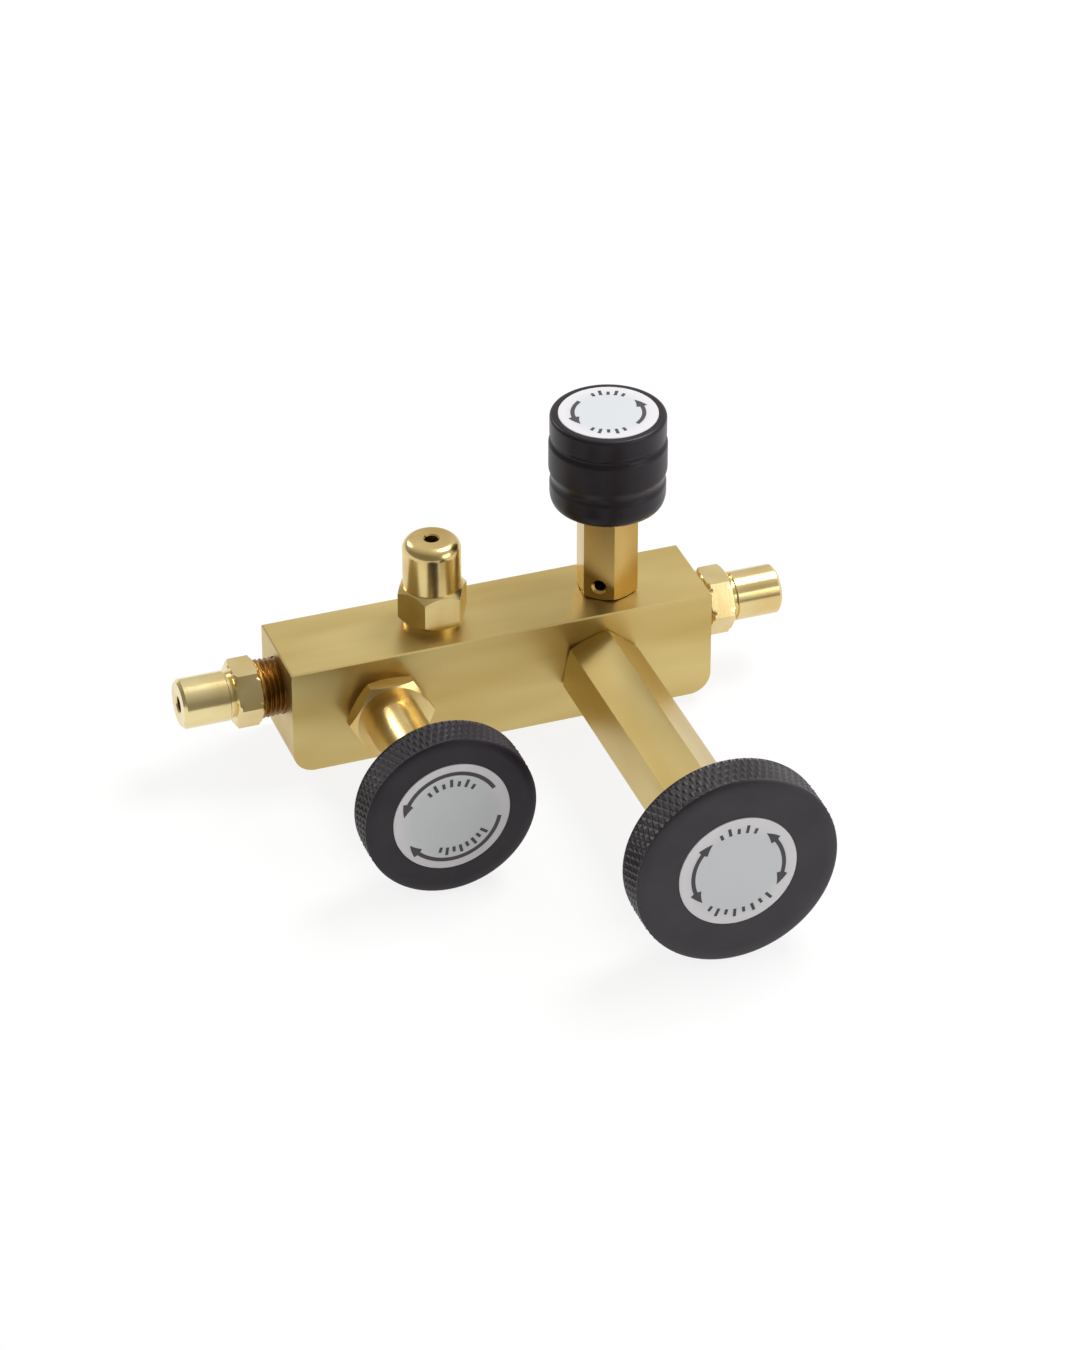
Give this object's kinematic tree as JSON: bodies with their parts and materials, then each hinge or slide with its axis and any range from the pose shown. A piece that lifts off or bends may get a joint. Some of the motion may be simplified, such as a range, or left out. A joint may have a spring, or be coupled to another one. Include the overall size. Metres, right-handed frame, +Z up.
{
  "type": "pressure test manifold",
  "caption": "Brass bar manifold with end ports, an upright gauge port, a knob isolation valve, a knob vent valve and a long hexagonal fine-adjust cylinder with a knob.",
  "frame": {"origin": "centre of the bar's underside", "axes": "+X along the bar to the outlet port, -Y to the front with the isolation valve and the fine-adjust cylinder, +Z up to the vent valve and the gauge port"},
  "size_m": [0.1817, 0.1399, 0.1045],
  "materials": {
    "bar_brass": "satin, drawn bar stock",
    "turned_brass": "bright turned",
    "stem_steel": "turned stainless steel",
    "screw_steel": "black oxide",
    "seal_rubber": "moulded",
    "seat_plastic": "white PTFE",
    "knob_black": "black anodised, satin",
    "label_silver": "satin plate"
  },
  "bodies": {
    "manifold": {"manifold_block": "bar_brass", "supply_port": "turned_brass", "outlet_port": "turned_brass", "gauge_port": "turned_brass", "gauge_port_ring": "seal_rubber", "isolation_bonnet": "turned_brass", "isolation_bonnet_ring": "seal_rubber", "vent_bonnet": "turned_brass", "vent_bonnet_ring": "seal_rubber", "adjuster_barrel": "bar_brass", "adjuster_barrel_ring": "seal_rubber", "adjuster_bush": "turned_brass"},
    "isolation_plug_group": {"isolation_plug": "stem_steel", "isolation_seat_disc": "seat_plastic"},
    "isolation_screw_group": {"isolation_spindle": "stem_steel", "isolation_stem_ring": "seal_rubber", "isolation_backup_ring": "seat_plastic", "isolation_knob": "knob_black", "isolation_set_screw": "screw_steel", "isolation_label": "label_silver"},
    "vent_plug_group": {"vent_plug": "stem_steel", "vent_seat_disc": "seat_plastic"},
    "vent_screw_group": {"vent_spindle": "stem_steel", "vent_stem_ring": "seal_rubber", "vent_backup_ring": "seat_plastic", "vent_knob": "knob_black", "vent_set_screw": "screw_steel", "vent_label": "label_silver"},
    "adjuster_piston_group": {"adjuster_piston": "stem_steel", "adjuster_piston_rings": "seal_rubber", "adjuster_backup_rings": "seat_plastic", "adjuster_retaining_pins": "screw_steel"},
    "adjuster_screw_group": {"adjuster_screw": "stem_steel", "adjuster_knob": "knob_black", "adjuster_set_screw": "screw_steel", "adjuster_label": "label_silver"}
  },
  "joints": [
    {"name": "isolation_lift", "type": "slide", "parent": "manifold", "child": "isolation_plug_group", "axis": [0, -1, 0], "range_m": [0, 0.00381]},
    {"name": "isolation_turn", "type": "hinge", "parent": "isolation_plug_group", "child": "isolation_screw_group", "pos_m": [-0.0358, -0.0143, 0.01665], "axis": [0, -1, 0], "range_deg": [0, 1080]},
    {"name": "vent_lift", "type": "slide", "parent": "manifold", "child": "vent_plug_group", "axis": [0, 0, 1], "range_m": [0, 0.00381]},
    {"name": "vent_turn", "type": "hinge", "parent": "vent_plug_group", "child": "vent_screw_group", "pos_m": [0.0365, 0, 0.0333], "axis": [0, 0, 1], "range_deg": [0, 1080]},
    {"name": "adjuster_travel", "type": "slide", "parent": "manifold", "child": "adjuster_piston_group", "axis": [0, -1, 0], "range_m": [-0.00508, 0.0127]},
    {"name": "adjuster_turn", "type": "hinge", "parent": "adjuster_piston_group", "child": "adjuster_screw_group", "pos_m": [0.0289, -0.0143, 0.01665], "axis": [0, -1, 0], "range_deg": [-1440, 3600]}
  ],
  "couplings": [
    {"joint": "isolation_turn", "follows": "isolation_lift", "rad_per_m": 4947.4},
    {"joint": "vent_turn", "follows": "vent_lift", "rad_per_m": 4947.4},
    {"joint": "adjuster_turn", "follows": "adjuster_travel", "rad_per_m": 4947.4}
  ]
}
